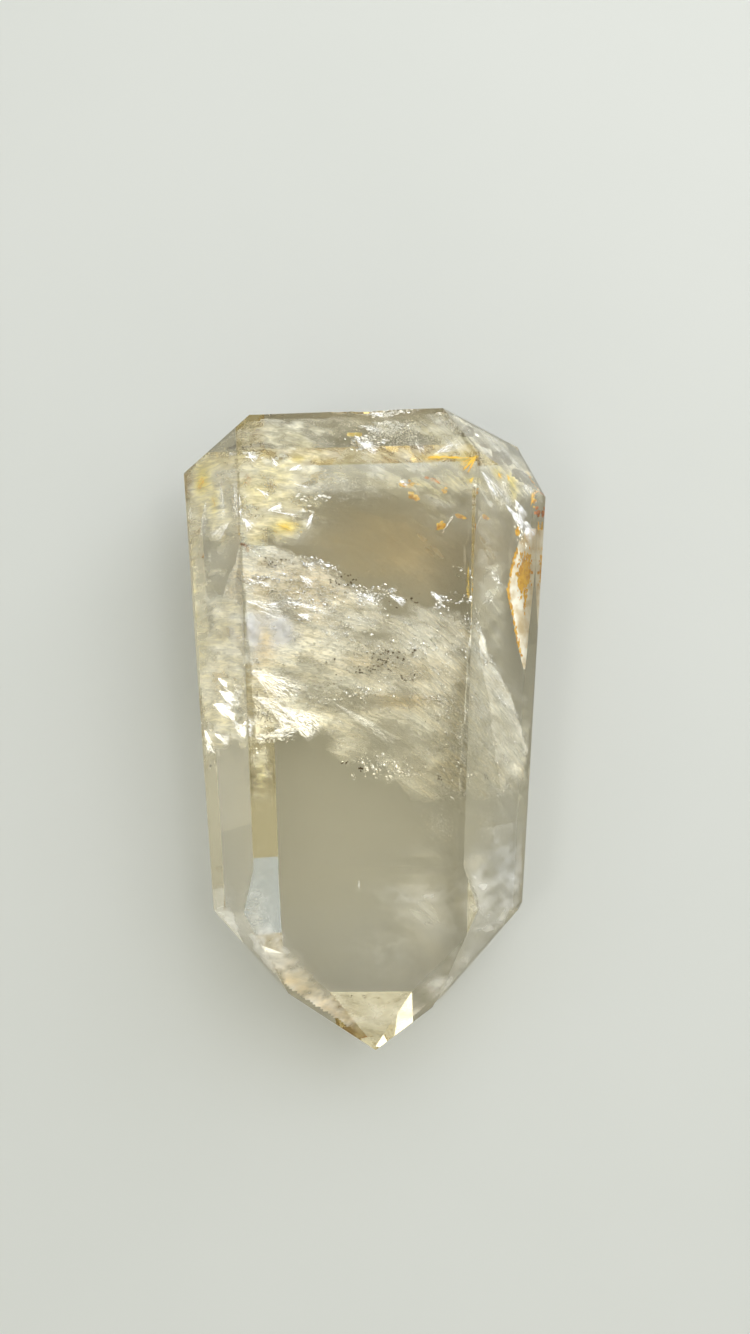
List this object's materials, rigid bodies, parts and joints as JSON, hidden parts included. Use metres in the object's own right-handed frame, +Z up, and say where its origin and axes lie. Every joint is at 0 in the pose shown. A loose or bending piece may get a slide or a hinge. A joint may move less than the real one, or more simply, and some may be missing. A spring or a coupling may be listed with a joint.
{
  "type": "quartz crystal point",
  "caption": "Clear, faintly smoky faceted quartz point lying on its broadest face, with a six-sided tapering body, a pointed tip and a cut base end.",
  "frame": {"origin": "on the table, under the middle of the stone's box", "axes": "+Y along the length toward the base end, tip toward -Y, +X to the right seen from above, +Z up from the resting face"},
  "size_m": [0.056, 0.0984, 0.0362],
  "materials": {
    "clear_quartz": "polished"
  },
  "bodies": {
    "root": {"quartz_crystal": "clear_quartz"}
  },
  "joints": []
}
